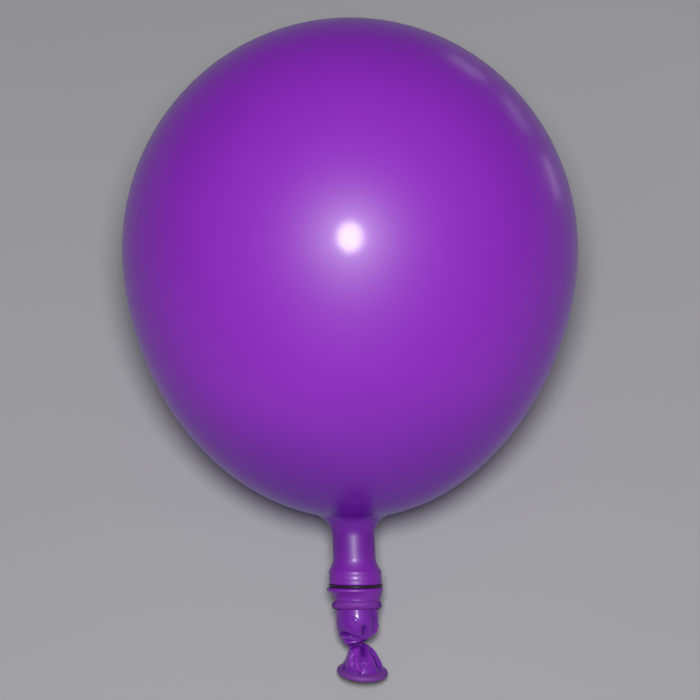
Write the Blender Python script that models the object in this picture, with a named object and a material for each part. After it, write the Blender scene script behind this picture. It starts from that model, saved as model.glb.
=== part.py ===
"""A light-up party balloon, blown up and lying at rest on its side.

Four pieces: the blown-up balloon with its narrow neck, the light plug inside that neck, the
rubber ring that clamps the skin into the plug, and the twisted filling tail under the mouth.

Lengths are in metres. Every piece is modelled upright, crown up and front at -Y, around the Z
axis. A depth is measured down that axis from the balloon's widest circle. The last step lays
the whole balloon down on the small flat of its belly and the back of the tail's lip.
"""

from math import cos, pi, radians, sin, tan

import bmesh
import bpy
import numpy as np
from mathutils import Matrix, Vector

MM = 0.001

# Latex skin, and the clearance between pieces that touch
SKIN = 0.5 * MM
FIT_GAP = 0.3 * MM

# Balloon body: an ellipse above the widest circle, a fuller curve below it
BODY_DIAMETER = 230 * MM
CROWN_HEIGHT = 117 * MM
TAPER_DEPTH = 135.5 * MM
TAPER_FULLNESS = 1.85
REST_FLAT_DEPTH = 2.4 * MM

# Neck, which leans a little to the right of the body
NECK_DIAMETER = 21.5 * MM
NECK_LENGTH = 12.7 * MM
NECK_ROOT_FILLET = 9 * MM
NECK_LEAN = radians(2.75)
LEAN_START_DEPTH = 75.5 * MM

# Light plug, measured on the plastic
SHOULDER_LENGTH = 6.8 * MM
COLLAR_DIAMETER = 25 * MM
COLLAR_LENGTH = 5.6 * MM
FLANGE_DIAMETER = 27 * MM
FLANGE_RISE = 0.9 * MM
FLANGE_TAPER = 5.7 * MM
FLANGE_FOOT = 1.5 * MM
SPIGOT_DIAMETER = 19.4 * MM
SPIGOT_LENGTH = 13 * MM

# Rubber ring
RING_CORD = 1.35 * MM
RING_SINK = 0.6 * MM

# Rolled bead round the balloon's mouth, with its front tipped up
MOUTH_BEAD_HEIGHT = 4.1 * MM
MOUTH_BEAD_PROUD = 1.1 * MM
MOUTH_TIP = radians(4)

# Filling tail, from the mouth bead to the middle of its own rolled lip
TAIL_LENGTH = 31.2 * MM
TAIL_BULGE = 0.13 * MM
LIP_DIAMETER = 22.4 * MM
LIP_CORD = 3.4 * MM
LIP_ROLL = radians(-3.3)
LIP_PITCH = radians(17)

# Shape of the tail: share of its length, then sideways offset and radius as shares of the
# tail's top radius, then the ring's roll to the left and pitch to the front in degrees
TAIL_RINGS = (
    (0.00, 0.00, 1.00, 0, 0),
    (0.16, 0.00, 1.00, 0, 0),
    (0.29, -0.02, 0.97, 1, 1),
    (0.40, -0.06, 0.86, 2, 2),
    (0.48, -0.12, 0.66, 4, 4),
    (0.53, -0.14, 0.45, 9, 4),
    (0.56, -0.13, 0.30, 20, 5),
    (0.61, -0.04, 0.43, 17, 7),
    (0.68, 0.06, 0.61, 10, 10),
    (0.76, 0.10, 0.73, 5, 13),
    (0.85, 0.13, 0.87, 0, 15),
)
SKIRT_END = 0.93
POCKET_END = 0.70
PLEATS = 9
PLEAT_DEPTH = ((0.30, 0), (0.42, 0.03), (0.50, 0.08), (0.56, 0.22), (0.62, 0.17), (0.72, 0.11),
               (0.85, 0.05), (0.93, 0.02))
TWIST = ((0.40, 0), (0.56, 70), (0.72, 100))

# Folds on the front of the tail: height and half-width as shares of the tail's top radius,
# then the line of the fold as shares (across the top radius, along the length)
FOLDS = (
    (-0.10, 0.09, ((-1.05, 0.38), (-0.62, 0.40), (-0.27, 0.46), (0.12, 0.52))),
    (0.06, 0.11, ((-0.87, 0.45), (-0.64, 0.48), (-0.31, 0.49))),
    (-0.06, 0.10, ((0.68, 0.03), (0.74, 0.16), (0.74, 0.28), (0.66, 0.37), (0.60, 0.46))),
    (-0.08, 0.18, ((0.18, 0.26), (0.14, 0.34), (0.22, 0.45))),
    (-0.06, 0.08, ((-0.61, 0.73), (-0.66, 0.81), (-0.79, 0.92))),
    (0.07, 0.09, ((-0.43, 0.68), (-0.52, 0.78), (-0.60, 0.90))),
    (0.06, 0.08, ((-0.16, 0.70), (-0.30, 0.76), (-0.36, 0.86))),
    (-0.10, 0.07, ((-0.17, 0.78), (-0.22, 0.85), (-0.22, 0.91))),
    (-0.09, 0.09, ((-0.11, 0.70), (0.00, 0.78), (0.10, 0.86), (0.10, 0.92), (-0.10, 0.95))),
    (0.07, 0.12, ((0.40, 0.58), (0.47, 0.69), (0.50, 0.80))),
    (-0.07, 0.10, ((0.50, 0.66), (0.67, 0.74), (0.81, 0.85))),
    (0.06, 0.10, ((0.68, 0.66), (0.84, 0.76), (1.00, 0.88))),
)

# How finely round shapes are faceted
BODY_SIDES = 40
PLUG_SIDES = 20
RING_SIDES = 32
RING_CORD_SIDES = 6
TAIL_SIDES = 54
CROWN_ROWS = 12
TAPER_ROWS = 11
FILLET_ROWS = 4
CURVE_ROWS = 3
BEAD_ROWS = 6
TAIL_ROWS = ((0.00, 0.40, 4), (0.40, 0.68, 11), (0.68, SKIRT_END, 6))
POCKET_ROWS = 4

COLOURS = {
    "purple latex": ((0.20, 0.035, 0.46), 0.22),
    "purple tail latex": ((0.17, 0.028, 0.40), 0.28),
    "black rubber": ((0.012, 0.012, 0.014), 0.55),
    "milky plastic": ((0.75, 0.74, 0.78), 0.40),
}


def body_radius(depth):
    """Radius of the body at a depth: an ellipse above, a fuller curve that closes below."""
    reach = np.where(depth < 0, CROWN_HEIGHT, TAPER_DEPTH)
    power = np.where(depth < 0, 2.0, TAPER_FULLNESS)
    share = np.clip(np.abs(depth) / reach, 0, 1)
    return BODY_DIAMETER / 2 * np.sqrt(1 - share**power)


def neck_root():
    """Depth of the fillet's centre and of its touch on the body, with the fillet touching both."""
    depth = np.linspace(0, TAPER_DEPTH, 4000)
    radius = body_radius(depth)
    centre_radius = NECK_DIAMETER / 2 + NECK_ROOT_FILLET
    low, high = depth[radius > centre_radius][-1], TAPER_DEPTH + NECK_ROOT_FILLET
    for _ in range(50):
        centre = (low + high) / 2
        distance = np.hypot(depth - centre, radius - centre_radius)
        if distance.min() < NECK_ROOT_FILLET:
            low = centre
        else:
            high = centre
    return centre, depth[distance.argmin()]


# Depths down the axis, each worked out from the one above it
NECK_START, FILLET_TOUCH = neck_root()
SHOULDER_START = NECK_START + NECK_LENGTH
COLLAR_START = SHOULDER_START + SHOULDER_LENGTH
GROOVE_REACH = RING_CORD / 2 + FIT_GAP
RING_DEPTH = COLLAR_START + COLLAR_LENGTH + GROOVE_REACH + SKIN + FIT_GAP
FLANGE_DEPTH = RING_DEPTH + GROOVE_REACH + FLANGE_RISE
WAIST_DEPTH = FLANGE_DEPTH + FLANGE_TAPER
SPIGOT_START = FLANGE_DEPTH + FLANGE_FOOT
SPIGOT_END = SPIGOT_START + SPIGOT_LENGTH
BEAD_START = WAIST_DEPTH + FIT_GAP
MOUTH_DEPTH = BEAD_START + MOUTH_BEAD_HEIGHT
TAIL_START = MOUTH_DEPTH + FIT_GAP

# Radii of the skin over the plug, from the plastic outwards
SKIN_OVER_PLUG = FIT_GAP + SKIN
NECK_RADIUS = NECK_DIAMETER / 2
COLLAR_RADIUS = COLLAR_DIAMETER / 2 + SKIN_OVER_PLUG
FLANGE_RADIUS = FLANGE_DIAMETER / 2 + SKIN_OVER_PLUG
RING_RADIUS = COLLAR_RADIUS + RING_CORD / 2 - RING_SINK - FIT_GAP
SLEEVE_INNER = SPIGOT_DIAMETER / 2 + FIT_GAP
SLEEVE_OUTER = SLEEVE_INNER + SKIN
WAIST_RADIUS = SLEEVE_OUTER + SKIN_OVER_PLUG
TAIL_RADIUS = SLEEVE_OUTER + TAIL_BULGE


def flare(start, end, steps):
    """Points that leave one (depth, radius) point straight down and reach the other steeply."""
    share = np.linspace(0, 1, steps + 1)
    rise = 1 - np.cos(pi / 2 * share)
    return [(start[0] + t * (end[0] - start[0]), start[1] + r * (end[1] - start[1]))
            for t, r in zip(share, rise)]


def arc(centre, radius, start, end, steps):
    """Points of an arc; the angle runs from straight down the axis towards the outside."""
    angles = np.linspace(start, end, steps + 1)
    return [(centre[0] + radius[0] * cos(a), centre[1] + radius[1] * sin(a)) for a in angles]


def plug_profile(inset):
    """The steps pressed into the skin, from shoulder to flange, with every radius cut by inset."""
    collar = COLLAR_RADIUS - inset
    reach = GROOVE_REACH + inset
    meets = np.arcsin((RING_RADIUS - collar) / reach)
    groove = arc((RING_DEPTH, RING_RADIUS), (reach, reach), pi + meets, 2 * pi - meets, CURVE_ROWS)
    shoulder = flare((SHOULDER_START, NECK_RADIUS - inset), (COLLAR_START, collar), CURVE_ROWS)
    return shoulder + groove + [(FLANGE_DEPTH, FLANGE_RADIUS - inset)]


def flange_taper(inset):
    """The skin's slope from the flange in to the waist, without its first point."""
    slope = flare((WAIST_DEPTH, WAIST_RADIUS - inset), (FLANGE_DEPTH, FLANGE_RADIUS - inset),
                  CURVE_ROWS)
    return slope[-2::-1]


def balloon_profile():
    """The balloon from its crown down to its mouth, then up the inside of the plug's socket."""
    crown = [(-CROWN_HEIGHT * cos(a), BODY_DIAMETER / 2 * sin(a))
             for a in np.linspace(0, pi / 2, CROWN_ROWS + 1)]
    closing = np.arcsin((FILLET_TOUCH / TAPER_DEPTH) ** (TAPER_FULLNESS / 2))
    taper = [(TAPER_DEPTH * sin(a) ** (2 / TAPER_FULLNESS), BODY_DIAMETER / 2 * cos(a))
             for a in np.linspace(0, closing, TAPER_ROWS + 1)]
    centre = (NECK_START, NECK_RADIUS + NECK_ROOT_FILLET)
    lean = np.arctan2(taper[-1][1] - centre[1], taper[-1][0] - centre[0]) % (2 * pi)
    fillet = arc(centre, (NECK_ROOT_FILLET, NECK_ROOT_FILLET), lean, 3 * pi / 2, FILLET_ROWS)
    bead = arc((MOUTH_DEPTH - MOUTH_BEAD_HEIGHT / 2, WAIST_RADIUS),
               (MOUTH_BEAD_HEIGHT / 2, MOUTH_BEAD_PROUD), pi, 0, BEAD_ROWS)
    outside = crown + taper[1:] + fillet[1:] + plug_profile(0) + flange_taper(0) + bead
    socket = plug_profile(SKIN) + flange_taper(SKIN) + [(MOUTH_DEPTH, WAIST_RADIUS - SKIN)]
    socket_top = [(SHOULDER_START - FIT_GAP, NECK_RADIUS - SKIN), (SHOULDER_START - FIT_GAP, 0)]
    return outside + socket[::-1] + socket_top


def light_plug_profile():
    """The plastic plug from its top face down to the end of its spigot."""
    inset = SKIN_OVER_PLUG
    steps = plug_profile(inset)
    drop = sin(pi / 2 * FLANGE_FOOT / FLANGE_TAPER)
    foot_radius = FLANGE_RADIUS - inset - drop * (FLANGE_RADIUS - WAIST_RADIUS)
    spigot = SPIGOT_DIAMETER / 2
    return ([(SHOULDER_START, 0)] + steps + [(SPIGOT_START, foot_radius), (SPIGOT_START, spigot),
            (SPIGOT_END - FIT_GAP, spigot), (SPIGOT_END, spigot - FIT_GAP), (SPIGOT_END, 0)])


def turned_rows(profile, sides):
    """Rows of points for a profile turned round the axis; a point on the axis is a pole."""
    angle = np.linspace(-pi, pi, sides, endpoint=False)
    rows = []
    for depth, radius in profile:
        if radius < FIT_GAP / 10:
            rows.append(np.array([[0, 0, -depth]]))
        else:
            rows.append(np.column_stack((radius * np.sin(angle), -radius * np.cos(angle),
                                         np.full(sides, -depth))))
    return rows


def between(keys, share):
    """Smooth values between key rows: a cubic whose slopes come from the neighbouring keys."""
    keys = np.array(keys, dtype=float)
    at, value = keys[:, 0], keys[:, 1:]
    slope = np.gradient(value, at, axis=0)
    i = np.clip(np.searchsorted(at, share, side="right") - 1, 0, len(at) - 2)
    span = at[i + 1] - at[i]
    t = np.clip((share - at[i]) / span, 0, 1)
    return (value[i] * (1 + 2 * t) * (1 - t) ** 2 + value[i + 1] * t**2 * (3 - 2 * t)
            + span * (slope[i] * t * (1 - t) ** 2 - slope[i + 1] * t**2 * (1 - t)))


def distance_to_line(x, z, points):
    """Shortest distance from each place (x, z) to the line through the points."""
    best = np.full(np.shape(x), np.inf)
    for (x0, z0), (x1, z1) in zip(points, points[1:]):
        dx, dz = x1 - x0, z1 - z0
        along = np.clip(((x - x0) * dx + (z - z0) * dz) / (dx * dx + dz * dz), 0, 1)
        best = np.minimum(best, np.hypot(x - x0 - along * dx, z - z0 - along * dz))
    return best


def ring_shape(share):
    """Sideways offset, mean radius, roll and pitch of the tail's ring at a share of its length."""
    lip = (SKIRT_END, 0.12, LIP_DIAMETER / 2 / TAIL_RADIUS)
    keys = TAIL_RINGS + (lip + (LIP_ROLL * 180 / pi, LIP_PITCH * 180 / pi),)
    offset, radius, roll, pitch = between(keys, min(share, SKIRT_END))
    return offset * TAIL_RADIUS, radius * TAIL_RADIUS, tan(radians(roll)), tan(radians(pitch))


def place_ring(share, radius, angle, drop=0.0):
    """Points at the given radii round the tail's ring, tilted as the ring is."""
    offset, _, roll, pitch = ring_shape(share)
    across, back = radius * np.sin(angle), -radius * np.cos(angle)
    up = -TAIL_START - share * TAIL_LENGTH - drop + roll * across + pitch * back
    return np.column_stack((offset + across, back, up))


def tail_ring(share, wall=0.0):
    """One ring of the tail's skin, with its pleats and front folds, cut in by a wall."""
    angle = np.linspace(-pi, pi, TAIL_SIDES, endpoint=False)
    radius = np.full(TAIL_SIDES, ring_shape(share)[1])
    turn = radians(np.interp(share, *zip(*TWIST)))
    depth = np.interp(share, *zip(*PLEAT_DEPTH))
    radius *= 1 + depth * (np.abs(np.sin(PLEATS * (angle + turn) / 2)) - 2 / pi)
    place = place_ring(share, radius, angle)
    across = place[:, 0] / TAIL_RADIUS
    along = (-TAIL_START - place[:, 2]) / TAIL_LENGTH
    front = np.clip(3 * np.cos(angle), 0, 1)
    stretch = TAIL_LENGTH / TAIL_RADIUS
    for height, width, line in FOLDS:
        line = [(x, z * stretch) for x, z in line]
        distance = distance_to_line(across, along * stretch, line)
        radius += TAIL_RADIUS * height * front * np.exp(-((distance / width) ** 2))
    return place_ring(share, radius - wall, angle)


def lip_ring(turn):
    """One ring of the rolled lip, at a turn round its cord's section."""
    angle = np.linspace(-pi, pi, TAIL_SIDES, endpoint=False)
    radius = LIP_DIAMETER / 2 + LIP_CORD / 2 * cos(turn)
    return place_ring(1.0, np.full(TAIL_SIDES, radius), angle, -LIP_CORD / 2 * sin(turn))


def tail_rows():
    """The tail from its socket, over its sleeve, down its skin, round its lip and up inside."""
    socket_end = SPIGOT_END + FIT_GAP
    sleeve_top = SPIGOT_START + 2 * FIT_GAP
    sleeve = [(socket_end, 0), (socket_end, SLEEVE_INNER), (sleeve_top, SLEEVE_INNER),
              (sleeve_top, SLEEVE_OUTER), (MOUTH_DEPTH, SLEEVE_OUTER)]
    rows = turned_rows(sleeve, TAIL_SIDES)
    shares = [np.linspace(start, end, steps, endpoint=False) for start, end, steps in TAIL_ROWS]
    rows += [tail_ring(share) for share in [*np.concatenate(shares), SKIRT_END]]
    rows += [lip_ring(turn) for turn in np.radians(np.linspace(95, -238, BEAD_ROWS + 1))]
    wall = 1.4 * SKIN
    rows += [tail_ring(share, wall) for share in np.linspace(SKIRT_END, POCKET_END, POCKET_ROWS)]
    pocket_end = POCKET_END - 1.5 * MM / TAIL_LENGTH
    rows.append(place_ring(pocket_end, np.zeros(1), np.zeros(1)))
    return rows


def rubber_ring_rows():
    """The rubber ring's cord, turned round the axis."""
    turns = np.linspace(0, 2 * pi, RING_CORD_SIDES, endpoint=False) + pi / RING_CORD_SIDES
    section = [(RING_DEPTH + RING_CORD / 2 * cos(t), RING_RADIUS + RING_CORD / 2 * sin(t))
               for t in turns]
    return turned_rows(section, RING_SIDES)


def lean(points):
    """Slide the neck and all below it to the right, and raise the front of the mouth and tail."""
    depth = -points[:, 2]
    run = NECK_START - LEAN_START_DEPTH
    share = np.clip((depth - LEAN_START_DEPTH) / run, 0, 1)
    slid = run * (share**3 - share**4 / 2) + np.maximum(depth - NECK_START, 0)
    tip_start = RING_DEPTH + RING_CORD
    share = np.clip((depth - tip_start) / (BEAD_START - tip_start), 0, 1)
    tipped = tan(MOUTH_TIP) * share**2 * (3 - 2 * share)
    return np.column_stack((points[:, 0] + tan(NECK_LEAN) * slid, points[:, 1],
                            points[:, 2] - tipped * points[:, 1]))


def latex_or_plastic(name):
    """A plain material with one of the named colours."""
    colour, roughness = COLOURS[name]
    material = bpy.data.materials.new(name)
    material.use_nodes = True
    shader = material.node_tree.nodes["Principled BSDF"]
    shader.inputs["Base Color"].default_value = (*colour, 1)
    shader.inputs["Roughness"].default_value = roughness
    shader.inputs["Metallic"].default_value = 0
    return material


def skin_rows(name, rows, material, closed=False):
    """One closed mesh through rows of points, where a row of a single point is a pole."""
    starts = np.cumsum([0] + [len(row) for row in rows])
    pairs = list(zip(range(len(rows)), range(1, len(rows))))
    if closed:
        pairs.append((len(rows) - 1, 0))
    faces = []
    for a, b in pairs:
        count_a, count_b = len(rows[a]), len(rows[b])
        for i in range(max(count_a, count_b)):
            j = i + 1
            corners = [starts[a] + i % count_a, starts[a] + j % count_a,
                       starts[b] + j % count_b, starts[b] + i % count_b]
            faces.append(list(dict.fromkeys(int(c) for c in corners)))
    mesh = bpy.data.meshes.new(name)
    mesh.from_pydata(lean(np.concatenate(rows)).tolist(), [], faces)
    bm = bmesh.new()
    bm.from_mesh(mesh)
    bmesh.ops.recalc_face_normals(bm, faces=bm.faces)
    bm.to_mesh(mesh)
    bm.free()
    mesh.materials.append(latex_or_plastic(material))
    piece = bpy.data.objects.new(name, mesh)
    bpy.context.scene.collection.objects.link(piece)
    return piece


def corners_of(piece):
    """The piece's vertices as an array of points."""
    flat = np.empty(3 * len(piece.data.vertices), dtype=np.float32)
    piece.data.vertices.foreach_get("co", flat)
    return flat.reshape(-1, 3).astype(float)


def lowest(points, tilt):
    """Height of the lowest point when the balloon lies on its back with its crown tilted up."""
    return (points[:, 2] * sin(tilt) - points[:, 1] * cos(tilt)).min()


def resting_tilt(balloon, tail):
    """Tilt of the axis at which the belly's flat and the tail's lip touch the same floor."""
    body, lip = corners_of(balloon), corners_of(tail)
    low, high = radians(5), radians(60)
    for _ in range(50):
        tilt = (low + high) / 2
        if lowest(lip, tilt) > lowest(body, tilt) + REST_FLAT_DEPTH:
            low = tilt
        else:
            high = tilt
    return tilt


def cut_rest_flat(balloon, tilt):
    """Cut the belly off flat where it lies on the floor, and give the flat's middle."""
    up = Vector((0, -cos(tilt), sin(tilt)))
    height = lowest(corners_of(balloon), tilt) + REST_FLAT_DEPTH
    bm = bmesh.new()
    bm.from_mesh(balloon.data)
    everything = bm.verts[:] + bm.edges[:] + bm.faces[:]
    cut = bmesh.ops.bisect_plane(bm, geom=everything, dist=0.01 * MM, plane_co=up * height,
                                 plane_no=up, clear_inner=True)
    rim = [item for item in cut["geom_cut"] if isinstance(item, bmesh.types.BMEdge)]
    flat = bmesh.ops.edgeloop_fill(bm, edges=rim)["faces"][0]
    middle = flat.calc_center_bounds()
    bmesh.ops.recalc_face_normals(bm, faces=bm.faces)
    bm.to_mesh(balloon.data)
    bm.free()
    return middle


def lay_down(pieces, tilt, middle):
    """Lay the pieces on their back, with the middle of the belly's flat at the origin."""
    bed = bpy.data.objects.new("bed", None)
    bpy.context.scene.collection.objects.link(bed)
    bed.rotation_euler = (tilt - pi / 2, 0, 0)
    bed.location = -(Matrix.Rotation(tilt - pi / 2, 3, "X") @ middle)
    for piece in pieces:
        piece.parent = bed


def build():
    """Clear the file, make the four pieces, and lay them down together."""
    for item in list(bpy.data.objects):
        bpy.data.objects.remove(item, do_unlink=True)
    balloon = skin_rows("balloon", turned_rows(balloon_profile(), BODY_SIDES), "purple latex")
    plug = skin_rows("light_plug", turned_rows(light_plug_profile(), PLUG_SIDES), "milky plastic")
    ring = skin_rows("rubber_ring", rubber_ring_rows(), "black rubber", closed=True)
    tail = skin_rows("filling_tail", tail_rows(), "purple tail latex")
    tilt = resting_tilt(balloon, tail)
    middle = cut_rest_flat(balloon, tilt)
    pieces = (balloon, plug, ring, tail)
    for piece in pieces:
        piece.data.shade_smooth()
        piece.data.set_sharp_from_angle(angle=radians(40))
    lay_down(pieces, tilt, middle)


build()
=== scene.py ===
from math import cos, pi, radians, sin, tan

import bpy
import numpy as np
from mathutils import Matrix


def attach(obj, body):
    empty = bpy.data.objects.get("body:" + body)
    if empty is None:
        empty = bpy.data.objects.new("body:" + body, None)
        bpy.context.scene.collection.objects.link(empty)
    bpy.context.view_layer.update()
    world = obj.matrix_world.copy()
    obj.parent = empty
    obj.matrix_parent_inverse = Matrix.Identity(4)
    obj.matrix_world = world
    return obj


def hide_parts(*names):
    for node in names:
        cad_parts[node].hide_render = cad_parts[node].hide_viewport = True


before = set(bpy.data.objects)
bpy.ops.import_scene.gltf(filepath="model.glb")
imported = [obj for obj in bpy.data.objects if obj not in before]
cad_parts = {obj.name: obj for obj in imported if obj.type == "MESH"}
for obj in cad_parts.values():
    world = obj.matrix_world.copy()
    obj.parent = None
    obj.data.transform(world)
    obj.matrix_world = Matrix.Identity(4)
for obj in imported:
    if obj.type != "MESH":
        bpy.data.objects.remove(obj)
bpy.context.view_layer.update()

MM = 0.001

# How the balloon lies. It was blown up round an upright axis and then laid on its side, neck
# lower than crown. The plane of the rubber ring and its middle in the frame say how far it
# tipped and where it came to rest. Depths below run down the axis from the widest circle.
NECK_LEAN = radians(2.75)
LEAN_START_DEPTH = 75.5 * MM
NECK_START = 142.5 * MM
RING_DEPTH = 169.4 * MM
MOUTH_TIP = radians(4)
TIP_START = 170.75 * MM
TIP_END = 177.27 * MM


def node_corners(name):
    """The separate corner points of a CAD node, each once."""
    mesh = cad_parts[name].data
    flat = np.empty(3 * len(mesh.vertices), dtype=np.float32)
    mesh.vertices.foreach_get("co", flat)
    return np.unique(np.round(flat.reshape(-1, 3).astype(float), 6), axis=0)


def lean(points):
    """Slides the neck to the right by the integral of a smooth step, so that its axis leans but
    its rings stay level, then lifts the front of the mouth and tail by a sheared smooth step."""
    depth = -points[..., 2]
    run = NECK_START - LEAN_START_DEPTH
    share = np.clip((depth - LEAN_START_DEPTH) / run, 0, 1)
    slid = run * (share**3 - share**4 / 2) + np.maximum(depth - NECK_START, 0)
    share = np.clip((depth - TIP_START) / (TIP_END - TIP_START), 0, 1)
    tipped = tan(MOUTH_TIP) * share**2 * (3 - 2 * share)
    return np.stack((points[..., 0] + tan(NECK_LEAN) * slid, points[..., 1],
                     points[..., 2] - tipped * points[..., 1]), axis=-1)


ring_corners = node_corners("rubber_ring")
ring_axis = np.linalg.svd(ring_corners - ring_corners.mean(axis=0))[2][-1]
TILT = np.arctan2(abs(ring_axis[2]), abs(ring_axis[1]))
TURN = np.array(Matrix.Rotation(TILT - pi / 2, 3, "X"))
REST = ring_corners.mean(axis=0) - TURN @ lean(np.array([0, 0, -RING_DEPTH]))


def laid(points):
    """Upright points, leaned at the neck, turned down onto the floor and moved to rest."""
    return lean(points) @ TURN.T + REST


# The balloon. One dipped latex skin, blown up to a fat pear with a narrow neck. Below the neck
# it is stretched over the light plug, so the plug's shoulder, collar, groove, flange and waist
# show through it, and its mouth is rolled into a matte bead. Purple, glossy where stretched.
BODY_RADIUS = 115 * MM
CROWN_HEIGHT = 117 * MM
TAPER_DEPTH = 135.5 * MM
TAPER_FULLNESS = 1.85
SKIN = 0.5 * MM
NECK_RADIUS = 10.75 * MM
NECK_ROOT_FILLET = 11 * MM
FILLET_TOUCH = 133.4 * MM
NECK_TOP = 144.15 * MM
SHOULDER_START = 155.2 * MM
COLLAR_START = 162.0 * MM
COLLAR_RADIUS = 13.3 * MM
COLLAR_RIPPLE = 0.07 * MM
COLLAR_RIPPLE_PITCH = 2.8 * MM
COLLAR_RIPPLE_RUN = 5.4 * MM
GROOVE_REACH = 0.975 * MM
RING_RADIUS = 13.075 * MM
FLANGE_DEPTH = 171.35 * MM
FLANGE_RADIUS = 14.3 * MM
FLANGE_ROUND = 1.15 * MM
WAIST_DEPTH = 176.97 * MM
WAIST_RADIUS = 11.3 * MM
MOUTH_DEPTH = 181.37 * MM
MOUTH_BEAD_HEIGHT = 4.1 * MM
MOUTH_BEAD_PROUD = 1.3 * MM
BEAD_POINT = 1.25
# How far the skin has slipped to the right, at what depth and over what spread of depth
SLIPS = ((-0.6 * MM, FLANGE_DEPTH, 1.5 * MM), (0.8 * MM, WAIST_DEPTH - 1.5 * MM, 2 * MM))
# Depths between which the skin goes from tight to thick, is stretched again over the plug, and
# goes slack, and distances from the crown's tip over which its thicker patch ends
TIGHT_TO_THICK = (55 * MM, 150 * MM)
OVER_PLUG = (146 * MM, 164 * MM)
TO_SLACK = (130 * MM, 146 * MM)
CROWN_PATCH = (8 * MM, 30 * MM)
CROWN_THICKER = 0.6
PLUG_STRETCH = 0.5
BALLOON_COLUMNS = 288


def arc(centre, reach, start, end, steps):
    """Points (depth, radius) of an ellipse's arc; the angle runs from down the axis outwards."""
    angle = np.linspace(start, end, steps)
    return np.column_stack((centre[0] + reach[0] * np.cos(angle),
                            centre[1] + reach[1] * np.sin(angle)))


def flare(start, end, steps):
    """Points of a quarter cosine wave that leaves one (depth, radius) point straight down and
    reaches the other steeply."""
    share = np.linspace(0, 1, steps)[:, None]
    rise = np.column_stack((share, 1 - np.cos(pi / 2 * share)))
    return np.array(start) + rise * (np.array(end) - np.array(start))


def plug_steps(inset, rim, fine):
    """The skin over the plug, with every radius cut by an inset: a flared shoulder, the collar's
    plain side, the ring's round groove, the flange's rim, then a flared slope in to the waist."""
    collar, reach = COLLAR_RADIUS - inset, GROOVE_REACH + inset
    shoulder = flare((SHOULDER_START, NECK_RADIUS - inset), (COLLAR_START, collar), fine)
    meets = np.arcsin((RING_RADIUS - collar) / reach)
    groove = arc((RING_DEPTH, RING_RADIUS), (reach, reach), pi + meets, 2 * pi - meets, fine)
    side = np.linspace((COLLAR_START, collar), groove[0], fine)[1:-1]
    slope = flare((WAIST_DEPTH, WAIST_RADIUS - inset), rim[-1], fine)[-2::-1]
    return np.concatenate((shoulder, side, groove, rim, slope))


def balloon_outline():
    """The outline from crown to mouth: an ellipse, a fuller closing curve, a fillet, the steps
    over the plug and a bead. Then the socket's inside, back up to the axis."""
    alpha = np.linspace(0, pi / 2, 90)
    crown = np.column_stack((-CROWN_HEIGHT * np.cos(alpha), BODY_RADIUS * np.sin(alpha)))
    closing = np.arcsin((FILLET_TOUCH / TAPER_DEPTH) ** (TAPER_FULLNESS / 2))
    alpha = np.linspace(0, closing, 90)[1:]
    taper = np.column_stack((TAPER_DEPTH * np.sin(alpha) ** (2 / TAPER_FULLNESS),
                             BODY_RADIUS * np.cos(alpha)))
    centre = np.array((NECK_TOP, NECK_RADIUS + NECK_ROOT_FILLET))
    touch = (np.arctan2(*(taper[-1] - centre)[::-1])) % (2 * pi)
    fillet = arc(centre, (NECK_ROOT_FILLET, NECK_ROOT_FILLET), touch, 3 * pi / 2, 24)[1:]
    neck = np.linspace((NECK_TOP, NECK_RADIUS), (SHOULDER_START, NECK_RADIUS), 12)[1:-1]
    rim = arc((FLANGE_DEPTH, FLANGE_RADIUS - FLANGE_ROUND), (FLANGE_ROUND, FLANGE_ROUND),
              pi, pi / 6, 14)
    turn = np.linspace(0, pi, 24)
    bead = np.column_stack((MOUTH_DEPTH - MOUTH_BEAD_HEIGHT * (1 + np.cos(turn)) / 2,
                            WAIST_RADIUS + MOUTH_BEAD_PROUD * np.sin(turn) ** BEAD_POINT))
    inner_rim = np.array([(FLANGE_DEPTH, FLANGE_RADIUS - SKIN)])
    socket = np.concatenate(([(SHOULDER_START, 0)], plug_steps(SKIN, inner_rim, 7),
                             [(MOUTH_DEPTH, WAIST_RADIUS - SKIN)]))[::-1]
    skin = np.concatenate((crown, taper, fillet, neck, plug_steps(0, rim, 18), bead))
    return np.concatenate((skin, socket)), len(skin)


def smooth_step(low, high, value):
    """0 below low, 1 above high, and a smooth step between."""
    share = np.clip((value - low) / (high - low), 0, 1)
    return share**2 * (3 - 2 * share)


def round_grid(depth, radius, angle):
    """Points at a depth, a radius and an angle round the axis, with angle 0 at the front."""
    return np.stack(np.broadcast_arrays(radius * np.sin(angle), -radius * np.cos(angle), -depth),
                    axis=-1)


def new_piece(name, points, faces):
    """A smooth mesh object in the scene, with its place in its mesh."""
    mesh = bpy.data.meshes.new(name)
    mesh.from_pydata(points.tolist(), [], faces)
    mesh.shade_smooth()
    piece = bpy.data.objects.new(name, mesh)
    bpy.context.scene.collection.objects.link(piece)
    return piece


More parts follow.
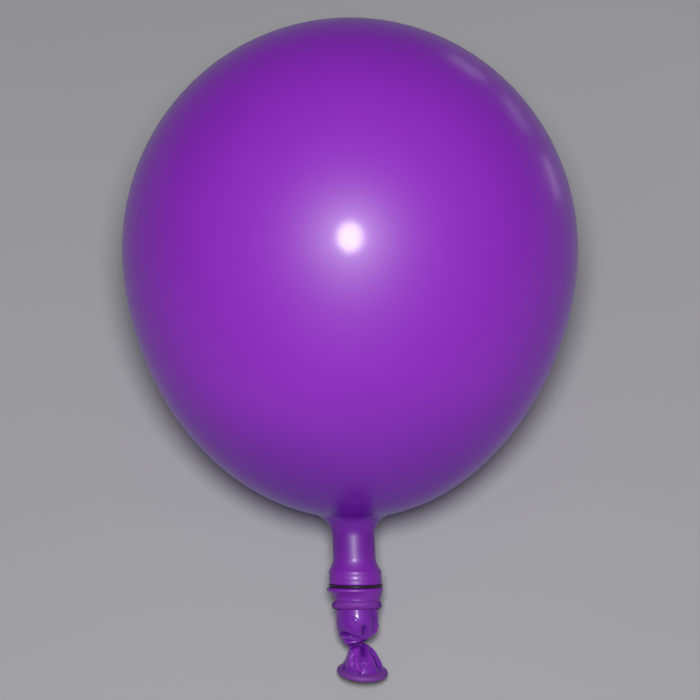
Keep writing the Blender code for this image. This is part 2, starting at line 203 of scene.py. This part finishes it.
def skin_piece(name, grid, masks):
    """A closed mesh through a grid of rows and columns. The columns run round and meet, and the
    first and the last row are each one point. Masks are values for each grid point."""
    rows, columns = grid.shape[:2]
    flat = np.r_[0, columns:(rows - 1) * columns, (rows - 1) * columns]
    here = np.arange(columns)
    beside = (here + 1) % columns
    ring = 1 + columns * np.arange(rows - 3)[:, None]
    quads = np.stack((ring + here, ring + columns + here, ring + columns + beside,
                      ring + beside), axis=-1).reshape(-1, 4)
    last = 1 + columns * (rows - 2)
    first_fan = np.stack((np.zeros_like(here), 1 + here, 1 + beside), axis=-1)
    last_fan = np.stack((np.full_like(here, last), last - columns + beside,
                         last - columns + here), axis=-1)
    piece = new_piece(name, laid(grid).reshape(-1, 3)[flat],
                      [*first_fan.tolist(), *quads.tolist(), *last_fan.tolist()])
    for mask, value in masks.items():
        layer = piece.data.attributes.new(mask, "FLOAT", "POINT")
        layer.data.foreach_set("value", value.reshape(-1)[flat].astype(np.float32))
    return piece


def on_the_floor(piece):
    """Flattens what would sink below the floor, as a soft skin does where it lies."""
    height = np.empty(3 * len(piece.data.vertices), dtype=np.float32)
    piece.data.vertices.foreach_get("co", height)
    height[2::3] = np.maximum(height[2::3], 0)
    piece.data.vertices.foreach_set("co", height)
    piece.data.update()


outline, skin_rows = balloon_outline()
angle = np.linspace(-pi, pi, BALLOON_COLUMNS, endpoint=False)
depth, radius = outline[:, :1], outline[:, 1:]
outside = np.arange(len(outline))[:, None] < skin_rows
ripple_share = np.clip((depth - COLLAR_START) / COLLAR_RIPPLE_RUN, 0, 1)
ripple = (COLLAR_RIPPLE * np.sin(2 * pi * (depth - COLLAR_START) / COLLAR_RIPPLE_PITCH)
          * np.sin(pi * ripple_share))
slip = sum(far * np.exp(-(((depth - at) / spread) ** 2)) for far, at, spread in SLIPS)
bulged = radius + outside * (slip * np.sin(angle) + ripple)
rolled = outside * smooth_step(WAIST_DEPTH, WAIST_DEPTH + 0.5 * MM, depth)
crown_patch = 1 - smooth_step(*CROWN_PATCH, np.hypot(radius, depth + CROWN_HEIGHT))
stretch_and_fold_shade = (1 - smooth_step(*TIGHT_TO_THICK, depth)) * (1 - CROWN_THICKER * crown_patch)
stretch_and_fold_shade = stretch_and_fold_shade + PLUG_STRETCH * smooth_step(*OVER_PLUG, depth)
slack = smooth_step(*TO_SLACK, depth)
balloon = skin_piece("blown_balloon", round_grid(depth, bulged, angle), {
    "rolled": np.broadcast_to(rolled, bulged.shape),
    "stretch_and_fold_shade": np.broadcast_to(stretch_and_fold_shade, bulged.shape),
    "slack": np.broadcast_to(slack, bulged.shape),
})
on_the_floor(balloon)
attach(balloon, "root")
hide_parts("balloon")


def maths(tree, operation, *values):
    """The output of a new Math node. Each value is a number or another node's output."""
    node = tree.nodes.new("ShaderNodeMath")
    node.operation = operation
    for socket, value in zip(node.inputs, values):
        if isinstance(value, float):
            socket.default_value = value
        else:
            tree.links.new(value, socket)
    return node.outputs["Value"]


def latex_grain_group():
    """Latex as colour, roughness and height. Thick skin is deep and taut skin is bright, and on the
    tail the same share also carries painted shade in the folds' valleys and painted light on their
    ridges. Slow noise drifts between them, a rolled bead is matte and powdery with fine speckles,
    and a painted glow, as if lit from inside, fades out where the skin is slack."""
    group = bpy.data.node_groups.new("latex grain", "ShaderNodeTree")
    for name, kind, value in (
        ("Deep", "NodeSocketColor", (0.1, 0.0, 0.3, 1)),
        ("Bright", "NodeSocketColor", (0.3, 0.1, 0.6, 1)),
        ("Powder", "NodeSocketColor", (0.3, 0.1, 0.5, 1)),
        ("Painted Glow", "NodeSocketColor", (0, 0, 0, 1)),
        ("Stretch_and_fold_shade", "NodeSocketFloat", 0.5),
        ("Rolled", "NodeSocketFloat", 0.0),
        ("Slack", "NodeSocketFloat", 0.0),
        ("Smooth Roughness", "NodeSocketFloat", 0.3),
        ("Drift Scale", "NodeSocketFloat", 12.0),
    ):
        socket = group.interface.new_socket(name, in_out="INPUT", socket_type=kind)
        socket.default_value = value
    for name, kind in (("Color", "NodeSocketColor"), ("Roughness", "NodeSocketFloat"),
                       ("Gloss", "NodeSocketFloat"), ("Height", "NodeSocketFloat"),
                       ("Painted Emission", "NodeSocketColor")):
        group.interface.new_socket(name, in_out="OUTPUT", socket_type=kind)
    nodes, links = group.nodes, group.links
    given, out = nodes.new("NodeGroupInput"), nodes.new("NodeGroupOutput")
    place = nodes.new("ShaderNodeTexCoord")

    def noise(scale, detail):
        node = nodes.new("ShaderNodeTexNoise")
        node.inputs["Detail"].default_value = detail
        links.new(place.outputs["Object"], node.inputs["Vector"])
        if isinstance(scale, float):
            node.inputs["Scale"].default_value = scale
        else:
            links.new(scale, node.inputs["Scale"])
        return node.outputs["Fac"]

    def mixed(share, first, second):
        node = nodes.new("ShaderNodeMix")
        node.data_type = "RGBA"
        for socket, value in zip((node.inputs["Factor"], node.inputs[6], node.inputs[7]),
                                 (share, first, second)):
            if isinstance(value, (float, tuple)):
                socket.default_value = value
            else:
                links.new(value, socket)
        return node.outputs[2]

    deep, rolled, slack = (given.outputs[name] for name in ("Deep", "Rolled", "Slack"))
    drift = maths(group, "MULTIPLY_ADD", noise(given.outputs["Drift Scale"], 3.0), 0.5, -0.25)
    # On the tail this share also carries painted shade in the folds' valleys and painted light on
    # their ridges
    thinness_and_fold_shade = maths(group, "ADD", given.outputs["Stretch_and_fold_shade"], drift)
    skin = mixed(thinness_and_fold_shade, deep, given.outputs["Bright"])
    speckle = noise(2400.0, 3.0)
    powder = mixed(speckle, deep, given.outputs["Powder"])
    links.new(mixed(rolled, skin, powder), out.inputs["Color"])
    dark = (0.0, 0.0, 0.0, 1.0)
    # A painted glow, as if lit from inside, that fades out where the skin is slack
    links.new(mixed(slack, given.outputs["Painted Glow"], dark), out.inputs["Painted Emission"])
    rough = maths(group, "MULTIPLY_ADD", noise(60.0, 4.0), 0.06, given.outputs["Smooth Roughness"])
    rough = maths(group, "MULTIPLY_ADD", slack, 0.10, rough)
    rough = maths(group, "MULTIPLY_ADD", rolled, 0.45, rough)
    links.new(rough, out.inputs["Roughness"])
    links.new(maths(group, "MULTIPLY_ADD", rolled, -0.8, 1.0), out.inputs["Gloss"])
    links.new(maths(group, "MULTIPLY", rolled, speckle), out.inputs["Height"])
    return group


latex_grain = latex_grain_group()
# How much rougher the sharp gloss is edge on, and the roughness that this stops at
EDGE_DULLING = 0.5
EDGE_DULLEST = 0.26


def latex(name, colours, roughness, drift_scale, index, powder_film):
    """A latex skin: the shared grain, a sharp gloss from the tight surface, a broad soft one from
    the film of powder on it and a painted glow, as if lit from inside. Both glosses are duller
    where it is seen edge on. Colours are those of deep skin, bright skin, powdered skin and the
    painted glow."""
    material = bpy.data.materials.new(name)
    material.use_nodes = True
    tree = material.node_tree
    nodes, links = tree.nodes, tree.links
    shader = nodes["Principled BSDF"]
    grain = nodes.new("ShaderNodeGroup")
    grain.node_tree = latex_grain
    for socket, colour in zip(("Deep", "Bright", "Powder", "Painted Glow"), colours):
        grain.inputs[socket].default_value = (*colour, 1)
    grain.inputs["Smooth Roughness"].default_value = roughness
    grain.inputs["Drift Scale"].default_value = drift_scale
    for mask in ("stretch_and_fold_shade", "slack", "rolled"):
        reader = nodes.new("ShaderNodeAttribute")
        reader.attribute_name = mask
        links.new(reader.outputs["Fac"], grain.inputs[mask.capitalize()])
    bump = nodes.new("ShaderNodeBump")
    bump.inputs["Strength"].default_value = 0.6
    bump.inputs["Distance"].default_value = 0.15 * MM
    edge_on = nodes.new("ShaderNodeLayerWeight")
    edge_on.inputs["Blend"].default_value = 0.5

    facing_away, plain_rough = edge_on.outputs["Facing"], grain.outputs["Roughness"]
    steep = maths(tree, "POWER", facing_away, 3.0)
    duller = maths(tree, "MULTIPLY_ADD", steep, EDGE_DULLING, plain_rough)
    rough = maths(tree, "MAXIMUM", plain_rough, maths(tree, "MINIMUM", duller, EDGE_DULLEST))
    flat_on = maths(tree, "POWER", maths(tree, "SUBTRACT", 1.0, facing_away), 2.0)
    glossy = maths(tree, "MULTIPLY", flat_on, grain.outputs["Gloss"])
    broad = maths(tree, "MULTIPLY", glossy, powder_film)
    links.new(grain.outputs["Color"], shader.inputs["Base Color"])
    links.new(rough, shader.inputs["Roughness"])
    links.new(broad, shader.inputs["Coat Weight"])
    # The painted glow goes out as emission
    links.new(grain.outputs["Painted Emission"], shader.inputs["Emission Color"])
    links.new(grain.outputs["Height"], bump.inputs["Height"])
    links.new(bump.outputs["Normal"], shader.inputs["Normal"])
    shader.inputs["IOR"].default_value = index
    shader.inputs["Emission Strength"].default_value = 1.0
    shader.inputs["Coat Roughness"].default_value = 0.48
    shader.inputs["Coat IOR"].default_value = 1.6
    return material


# Deep, bright and powdered skin, and a dim painted glow, as if lit from inside, that keeps the rims
# purple
LATEX_COLOURS = ((0.148, 0.009, 0.320), (0.282, 0.024, 0.500), (0.250, 0.058, 0.390),
                 (0.002, 0.000, 0.045))
balloon.data.materials.append(latex("purple_latex", LATEX_COLOURS, roughness=0.115,
                                    drift_scale=12.0, index=1.23, powder_film=1.0))

# The rubber ring. A thin black ring of round rubber cord, moulded with a fine parting line. It
# was rolled over the skin and snapped into the plug's groove, which it clamps the skin into.
RING_CORD = 1.35 * MM
PARTING_LINE = 0.03 * MM
PARTING_SPREAD = 0.02


def ring_grid(around, across):
    """A cord carried round a circle: section angle down the rows, ring angle along columns, and
    a fine ridge where the two halves of its mould met."""
    turn = np.linspace(0, 2 * pi, across, endpoint=False)[:, None]
    angle = np.linspace(-pi, pi, around, endpoint=False)
    off_line = (np.abs(np.sin(turn)) - 1) / PARTING_SPREAD
    reach = RING_CORD / 2 + PARTING_LINE * np.exp(-off_line ** 2)
    return round_grid(RING_DEPTH + reach * np.cos(turn), RING_RADIUS + reach * np.sin(turn), angle)


def closed_ring_piece(name, grid):
    """A mesh through a grid whose rows and columns both run round and meet."""
    rows, columns = grid.shape[:2]
    row, column = np.mgrid[0:rows, 0:columns]
    below, beside = (row + 1) % rows, (column + 1) % columns
    quads = np.stack((row * columns + column, row * columns + beside,
                      below * columns + beside, below * columns + column), axis=-1)
    return new_piece(name, laid(grid).reshape(-1, 3), quads.reshape(-1, 4).tolist())


ring = closed_ring_piece("clamp_ring", ring_grid(240, 32))
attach(ring, "root")
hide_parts("rubber_ring")


def noisy_material(name, dark, light, roughness, scale):
    """A plain moulded finish: fine noise between two near colours, and a fine bump from it."""
    material = bpy.data.materials.new(name)
    material.use_nodes = True
    nodes, links = material.node_tree.nodes, material.node_tree.links
    shader = nodes["Principled BSDF"]
    place, noise = nodes.new("ShaderNodeTexCoord"), nodes.new("ShaderNodeTexNoise")
    noise.inputs["Scale"].default_value = scale
    links.new(place.outputs["Object"], noise.inputs["Vector"])
    ramp = nodes.new("ShaderNodeValToRGB")
    ramp.color_ramp.elements[0].color = (*dark, 1)
    ramp.color_ramp.elements[1].color = (*light, 1)
    links.new(noise.outputs["Fac"], ramp.inputs["Fac"])
    links.new(ramp.outputs["Color"], shader.inputs["Base Color"])
    bump = nodes.new("ShaderNodeBump")
    bump.inputs["Strength"].default_value = 0.3
    bump.inputs["Distance"].default_value = 0.05 * MM
    links.new(noise.outputs["Fac"], bump.inputs["Height"])
    links.new(bump.outputs["Normal"], shader.inputs["Normal"])
    shader.inputs["Roughness"].default_value = roughness
    return material


ring.data.materials.append(noisy_material("black_rubber", (0.008, 0.007, 0.010),
                                          (0.022, 0.019, 0.026), roughness=0.38, scale=900.0))

# The light plug. A milky moulded plug that holds the light and its cells. The skin hides all of
# it, so it keeps the frame's own solid, pushed into the neck and held there by the ring.
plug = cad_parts["light_plug"]
plug.data.materials.clear()
plug.data.materials.append(noisy_material("milky_plastic", (0.72, 0.71, 0.75),
                                          (0.82, 0.81, 0.85), roughness=0.42, scale=400.0))

# The filling tail. A loose latex neck pulled over the plug's spigot and tucked under the mouth
# bead. Air bulges it, then it is twisted shut, and below the twist it flares into a pleated
# skirt that ends in a rolled matte lip. Same purple latex, thicker because it isn't stretched.
TAIL_START = 181.67 * MM
TAIL_RADIUS = 10.63 * MM
TAIL_LENGTH = 31.2 * MM
SLEEVE_TOP = 173.4 * MM
SLEEVE_INNER = 10.0 * MM
SOCKET_END = 186.1 * MM
LIP_RADIUS = 11.2 * MM
LIP_CORD = 3.15 * MM
# Degrees round the lip's cord where the skin joins it outside and inside, 0 outwards and 90 up
LIP_WRAP = (95, -238)
SKIRT_WALL = 0.7 * MM
# Rings down the tail: share of its length, shift to the right and radius in tail radii, and
# how many degrees its left side and its front drop
TAIL_RINGS = (
    (0.00, 0.00, 1.00, 0, 0),
    (0.16, 0.00, 1.00, 0, 0),
    (0.29, -0.02, 0.97, 1, 1),
    (0.40, -0.06, 0.86, 2, 2),
    (0.48, -0.12, 0.66, 4, 4),
    (0.53, -0.14, 0.45, 9, 4),
    (0.56, -0.13, 0.30, 20, 5),
    (0.61, -0.04, 0.43, 17, 7),
    (0.68, 0.06, 0.61, 10, 10),
    (0.76, 0.10, 0.73, 5, 13),
    (0.85, 0.13, 0.87, 0, 15),
    (0.93, 0.12, LIP_RADIUS / TAIL_RADIUS, -3.3, 17),
)
SKIRT_END = 0.93
POCKET_END = 0.70
POCKET_ROOF = 1.5 * MM
PLEATS = 9
# Shares of the tail's length, with the pleats' depth in radii and their turn in degrees
PLEAT_DEPTH = ((0.30, 0), (0.42, 0.03), (0.50, 0.08), (0.56, 0.22), (0.62, 0.17), (0.72, 0.11),
               (0.85, 0.05), (0.93, 0.02))
TWIST = ((0.40, 0), (0.56, 70), (0.72, 100))
# How deep the pleats are on the front beside the back, and how sharply the front's side ends
FRONT_PLEATS = 0.35
FRONT_EDGE = 3
# Height of each bulge, its place across and down the front, and its half-width and half-length
BULGES = ((0.15, -0.03, 0.20, 0.80, 0.70), (0.17, 0.10, 0.83, 0.80, 0.32))
LIP_GUTTER = 0.6 * MM
GUTTER_SPREAD = 0.03
LEAST_SLEEVE = 0.3 * MM
SLEEVE_FADE = (0.15, 0.25)
# The tail's plain tone, and how far painted shade darkens the valleys of its folds, pleats and lip
# gutter and painted light brightens their ridges, per tail radius raised
THIN_SKIN = 0.6
FOLD_SHADE = 3.2
# Height of each fold, its half-width below or left and above or right, and its line across and
# down the front
FOLDS = (
    (-0.14, 0.05, 0.13, ((-1.19, 0.38), (-0.77, 0.39), (-0.49, 0.41), (-0.21, 0.46), (0.24, 0.50))),
    (0.11, 0.07, 0.05, ((-1.15, 0.41), (-0.72, 0.42), (-0.44, 0.45), (-0.16, 0.48), (0.21, 0.51))),
    (-0.10, 0.05, 0.06, ((-0.87, 0.46), (-0.54, 0.49), (-0.26, 0.50), (0.10, 0.51))),
    (0.17, 0.07, 0.11, ((-0.72, 0.56), (-0.47, 0.54), (-0.22, 0.53), (0.17, 0.51))),
    (-0.20, 0.08, 0.05, ((-0.77, 0.59), (-0.37, 0.59), (-0.13, 0.57), (0.21, 0.53))),
    (-0.10, 0.08, 0.14, ((0.47, -0.11), (0.69, 0.07), (0.73, 0.20), (0.68, 0.31), (0.51, 0.44))),
    (0.07, 0.07, 0.07, ((1.00, 0.20), (0.92, 0.30), (0.79, 0.38), (0.60, 0.44))),
    (-0.19, 0.13, 0.16, ((0.33, 0.22), (0.29, 0.34), (0.29, 0.46))),
    (0.04, 0.06, 0.07, ((-0.17, 0.10), (-0.07, 0.17), (0.10, 0.22), (0.32, 0.24))),
    (-0.21, 0.11, 0.13, ((0.24, 0.51), (0.21, 0.64), (0.16, 0.78))),
    (0.17, 0.28, 0.08, ((0.05, 0.54), (-0.07, 0.66), (-0.10, 0.78), (-0.02, 0.89), (0.10, 1.06))),
    (-0.08, 0.05, 0.07, ((0.07, 0.68), (0.07, 0.80), (0.11, 0.90), (0.11, 0.99))),
    (-0.08, 0.07, 0.07, ((0.12, 0.97), (-0.04, 1.02), (-0.26, 1.04), (-0.53, 1.03), (-0.78, 1.00))),
    (-0.13, 0.05, 0.05, ((-0.18, 0.68), (-0.24, 0.81), (-0.23, 0.96))),
    (0.05, 0.08, 0.07, ((-0.07, 0.52), (-0.21, 0.65), (-0.27, 0.72), (-0.31, 0.78))),
    (0.04, 0.08, 0.06, ((-0.23, 0.54), (-0.38, 0.67), (-0.46, 0.75), (-0.53, 0.83))),
    (-0.11, 0.08, 0.08, ((-0.37, 0.59), (-0.58, 0.74), (-0.71, 0.85), (-0.79, 0.94), (-0.72, 1.07))),
    (0.06, 0.14, 0.14, ((0.28, 0.52), (0.44, 0.65), (0.51, 0.77), (0.52, 0.91))),
    (0.05, 0.07, 0.12, ((0.54, 0.77), (0.35, 0.86), (0.23, 0.92), (0.17, 0.98))),
    (-0.13, 0.14, 0.06, ((0.33, 0.55), (0.62, 0.68), (0.79, 0.81), (0.96, 0.93), (1.14, 1.04))),
    (0.08, 0.06, 0.07, ((0.42, 0.55), (0.74, 0.67), (0.93, 0.81), (1.15, 0.96))),
    (0.03, 0.06, 0.06, ((-0.41, 0.67), (-0.42, 0.74))),
    (0.04, 0.06, 0.06, ((-0.24, 0.68), (-0.25, 0.76))),
    (0.05, 0.07, 0.07, ((-0.04, 0.73), (-0.02, 0.87))),
    (0.05, 0.06, 0.06, ((0.21, 0.86), (0.20, 0.93))),
)
TAIL_COLUMNS = 320


def between(keys, share):
    """Smooth values between key rows: a cubic in each span, whose slopes at the keys come from
    the keys on either side."""
    keys = np.array(keys, dtype=float)
    at, value = keys[:, 0], keys[:, 1:]
    slope = np.gradient(value, at, axis=0)
    i = np.clip(np.searchsorted(at, share, side="right") - 1, 0, len(at) - 2)
    span = (at[i + 1] - at[i])[:, None]
    t = np.clip((share - at[i])[:, None] / span, 0, 1)
    return (value[i] * (1 + 2 * t) * (1 - t) ** 2 + value[i + 1] * t**2 * (3 - 2 * t)
            + span * (slope[i] * t * (1 - t) ** 2 - slope[i + 1] * t**2 * (1 - t)))


def fold(x, z, height, below, above, line):
    """The height of a fold at places (x, z): a bell across a smooth line, with one half-width
    below or left of it and one above or right, that fades in and out along the line."""
    keys = np.column_stack((np.linspace(0, 1, len(line)), line))
    t = np.linspace(0, 1, 60)
    path = between(keys, t)
    tangent = np.gradient(path, axis=0)
    tangent = tangent / np.linalg.norm(tangent, axis=1)[:, None]
    near = np.argmin((x[..., None] - path[:, 0]) ** 2 + (z[..., None] - path[:, 1]) ** 2, axis=-1)
    side = tangent[near, 0] * (z - path[near, 1]) - tangent[near, 1] * (x - path[near, 0])
    width = np.where(side > 0, below, above)
    fade = smooth_step(0, 0.3, t[near]) * smooth_step(0, 0.3, 1 - t[near])
    return height * fade * np.exp(-((side / width) ** 2))


def tilted_rings(share, radius, angle, drop=0.0):
    """Rings round the tail's crooked axis. A ring is shifted sideways, then sheared so that its
    left side and its front drop by the tangents of its roll and its pitch."""
    offset, _, roll, pitch = between(TAIL_RINGS, np.minimum(share, SKIRT_END)).T[..., None]
    across, back = radius * np.sin(angle), -radius * np.cos(angle)
    up = (-TAIL_START - share[:, None] * TAIL_LENGTH - drop
          + np.tan(np.radians(roll)) * across + np.tan(np.radians(pitch)) * back)
    return np.stack((offset * TAIL_RADIUS + across, back, up), axis=-1)


def tail_skin(share, angle, wall=0.0):
    """The tail's skin: a mean radius for each ring with a gutter above the lip, cusped pleats
    that twist about the knot, two bulges on the front, and folds along lines there. It stays
    clear of the socket. Also gives how far each place is raised, in tail radii."""
    gutter = LIP_GUTTER / TAIL_RADIUS * np.exp(-(((share - SKIRT_END) / GUTTER_SPREAD) ** 2))[:, None]
    mean = between(TAIL_RINGS, share)[:, 1:2] * TAIL_RADIUS
    turn = np.radians(np.interp(share, *zip(*TWIST)))[:, None]
    depth = np.interp(share, *zip(*PLEAT_DEPTH))[:, None]
    front = np.clip(FRONT_EDGE * np.cos(angle), 0, 1)
    depth = depth * (1 - (1 - FRONT_PLEATS) * front)
    pleats = depth * (np.abs(np.sin(PLEATS * (angle + turn) / 2)) - 2 / pi)
    place = tilted_rings(share, mean * (1 + pleats), angle)
    across = place[..., 0] / TAIL_RADIUS
    stretch = TAIL_LENGTH / TAIL_RADIUS
    along = (-TAIL_START - place[..., 2]) / TAIL_RADIUS
    bulge = sum(height * np.exp(-(((across - middle) / wide) ** 2)
                                - ((along - low * stretch) / long) ** 2)
                for height, middle, low, wide, long in BULGES)
    folds = 0 * across
    for height, below, above, line in FOLDS:
        line = [(x, z * stretch) for x, z in line]
        folds = folds + fold(across, along, height, below, above, line)
    least = (SLEEVE_INNER + LEAST_SLEEVE) * (1 - smooth_step(*SLEEVE_FADE, share))[:, None]
    radius = mean * (1 + pleats) + TAIL_RADIUS * (front * (bulge + folds) - gutter)
    radius = np.maximum(radius - wall, least)
    return tilted_rings(share, radius, angle), pleats + front * folds - gutter


def tail_grid():
    """The whole tail as one grid: socket, sleeve, skin, rolled lip, then back up inside the
    skirt. Also gives masks for the rolled lip and for the skin's tone, which holds painted shade
    dark in the valleys of the folds, pleats and lip gutter and painted light on their ridges."""
    angle = np.linspace(-pi, pi, TAIL_COLUMNS, endpoint=False)
    sleeve = np.array(((SOCKET_END, 0), (SOCKET_END, SLEEVE_INNER), (SLEEVE_TOP, SLEEVE_INNER),
                       (SLEEVE_TOP, SLEEVE_INNER + SKIN), (MOUTH_DEPTH, SLEEVE_INNER + SKIN)))
    top = round_grid(sleeve[:, :1], sleeve[:, 1:], angle)
    outer, raised = tail_skin(np.linspace(0, SKIRT_END, 180), angle)
    turn = np.radians(np.linspace(*LIP_WRAP, 40))[:, None]
    lip = tilted_rings(np.ones(40), LIP_RADIUS + LIP_CORD / 2 * np.cos(turn) + 0 * angle, angle,
                       -LIP_CORD / 2 * np.sin(turn))
    inner, _ = tail_skin(np.linspace(SKIRT_END, POCKET_END, 50), angle, SKIRT_WALL)
    end = tilted_rings(np.array([POCKET_END - POCKET_ROOF / TAIL_LENGTH]), 0 * angle[None], angle)
    grid = np.concatenate((top, outer, lip, inner, end))
    skin = slice(len(top), len(top) + len(outer))
    rolled = np.zeros(grid.shape[:2])
    rolled[skin.stop:skin.stop + len(lip)] = 1
    tone_and_fold_shade = np.full(grid.shape[:2], THIN_SKIN)
    # Painted shade in the valleys and painted light on the ridges of the folds, pleats and gutter
    tone_and_fold_shade[skin] += FOLD_SHADE * raised
    return grid, rolled, tone_and_fold_shade


grid, rolled, tone_and_fold_shade = tail_grid()
tail = skin_piece("twisted_tail", grid, {"rolled": rolled, "stretch_and_fold_shade": tone_and_fold_shade})
on_the_floor(tail)
TAIL_COLOURS = ((0.075, 0.003, 0.225), (0.250, 0.024, 0.480), (0.300, 0.075, 0.430), (0, 0, 0))
tail.data.materials.append(latex("purple_tail_latex", TAIL_COLOURS, roughness=0.125,
                                 drift_scale=60.0, index=1.4, powder_film=0.5))
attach(tail, "root")
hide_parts("filling_tail")

# The floor. A plain pale sweep that the balloon lies on, out of the object.
FLOOR_SIZE = 12.0


def plain_floor():
    """A flat square of pale paper, with a faint slow drift in its tone."""
    corners = np.array([(-1, -1, 0), (1, -1, 0), (1, 1, 0), (-1, 1, 0)]) * FLOOR_SIZE / 2
    floor = new_piece("floor", corners, [(0, 1, 2, 3)])
    floor.data.materials.append(noisy_material("pale_paper", (0.39, 0.39, 0.40),
                                               (0.42, 0.42, 0.43), roughness=0.9, scale=3.0))
    return floor


plain_floor()

# The view. The camera looks square at the upright axis from the balloon's front, so down at
# the lying balloon, with its centre a little below the widest circle, as in the photograph.
PICTURE_PIXELS = 700
PIXEL = 0.505 * MM
VIEW_CENTRE_DEPTH = 50.5 * MM
CAMERA_DISTANCE = 1.8
FRONT = TURN @ np.array([0, -1, 0])
UP = TURN @ np.array([0, 0, 1])
aim = TURN @ np.array([0, 0, -VIEW_CENTRE_DEPTH]) + REST


def facing(place, target, up):
    """A transform at a place whose -Z looks at the target, with its Y as near up as it can."""
    back = (place - target) / np.linalg.norm(place - target)
    side = np.cross(up, back)
    side = side / np.linalg.norm(side)
    turn = Matrix(np.column_stack((side, np.cross(back, side), back)).tolist())
    return Matrix.Translation(place.tolist()) @ turn.to_4x4()


camera_data = bpy.data.cameras.new("camera")
camera_data.sensor_width = 36
camera_data.lens = 36 * CAMERA_DISTANCE / (PICTURE_PIXELS * PIXEL)
camera_data.clip_start = 0.05
camera = bpy.data.objects.new("camera", camera_data)
camera.matrix_world = facing(aim + CAMERA_DISTANCE * FRONT, aim, UP)
bpy.context.scene.collection.objects.link(camera)
bpy.context.scene.camera = camera

# The light. One soft oval lamp a little above the lens, three low narrow lamps that the skin
# mirrors as arcs near its rim, and a dim even room.
KEY_RISE = radians(4.1)
KEY_DISTANCE = 1.9
KEY_SIZE = (0.40, 0.48)
KEY_POWER = 32
STRIP_WIDTH = 0.014
# Each narrow lamp's two ends, the place on the skin that it faces, and its power
STRIPS = (
    ("upper_strip", (0.150, 0.350, 0.118), (0.200, 0.318, 0.103), (0.060, 0.070, 0.204), 0.010),
    ("middle_strip", (0.228, 0.295, 0.088), (0.270, 0.252, 0.078), (0.082, 0.050, 0.193), 0.008),
    ("lower_strip", (0.284, 0.216, 0.040), (0.292, 0.160, 0.024), (0.099, 0.021, 0.175), 0.011),
)


def area_lamp(name, shape, size, power, place):
    """A lamp of a shape, a width and a height, whose light leaves along its place's -Z."""
    data = bpy.data.lights.new(name, "AREA")
    data.shape = shape
    data.size, data.size_y = size
    data.energy = power
    lamp = bpy.data.objects.new(name, data)
    lamp.matrix_world = place
    bpy.context.scene.collection.objects.link(lamp)
    return lamp


above_lens = REST + KEY_DISTANCE * (cos(KEY_RISE) * FRONT + sin(KEY_RISE) * UP)
area_lamp("key", "ELLIPSE", KEY_SIZE, KEY_POWER, facing(above_lens, REST, UP))
for name, *points, power in STRIPS:
    start, end, target = np.array(points)
    length = float(np.linalg.norm(end - start))
    strip = area_lamp(name, "RECTANGLE", (STRIP_WIDTH, length), power,
                      facing((start + end) / 2, target, end - start))
    strip.visible_camera = False

world = bpy.data.worlds.new("room")
world.use_nodes = True
world.node_tree.nodes["Background"].inputs["Color"].default_value = (0.9, 0.9, 0.95, 1)
world.node_tree.nodes["Background"].inputs["Strength"].default_value = 0.08
bpy.context.scene.world = world
bpy.context.scene.view_settings.view_transform = "Standard"
